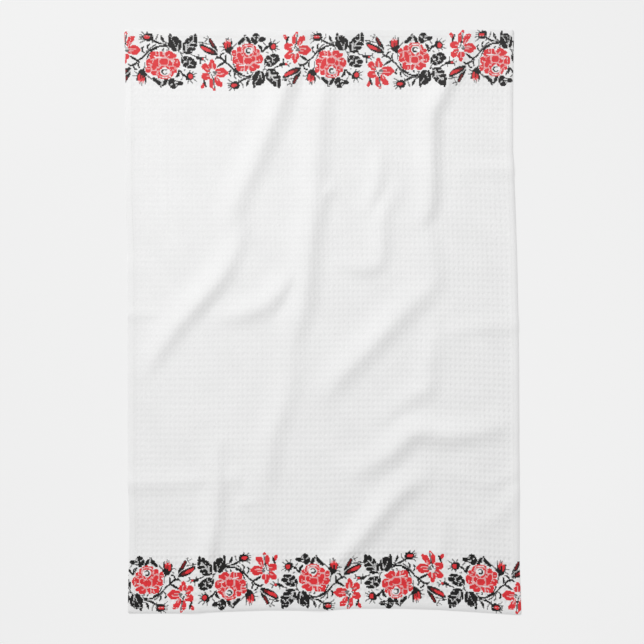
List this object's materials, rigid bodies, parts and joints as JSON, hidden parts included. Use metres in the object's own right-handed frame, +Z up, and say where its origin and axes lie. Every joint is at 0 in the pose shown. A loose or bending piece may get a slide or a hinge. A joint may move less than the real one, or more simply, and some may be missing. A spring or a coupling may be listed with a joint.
{
  "type": "tea towel",
  "caption": "Tea towel of white waffle-weave cotton with turned hems and a red and black folk rose border at each end, lying flat in soft folds.",
  "frame": {"origin": "on the surface that the towel lies on, under the middle of its box", "axes": "+Z up out of the printed face, +Y along the towel's length towards its upper border, +X to the right"},
  "size_m": [0.413, 0.6084, 0.0077],
  "materials": {
    "towel": "white waffle-weave cotton, matt, with a red and black printed border at each short end"
  },
  "bodies": {
    "root": {"towel": "towel"}
  },
  "joints": []
}
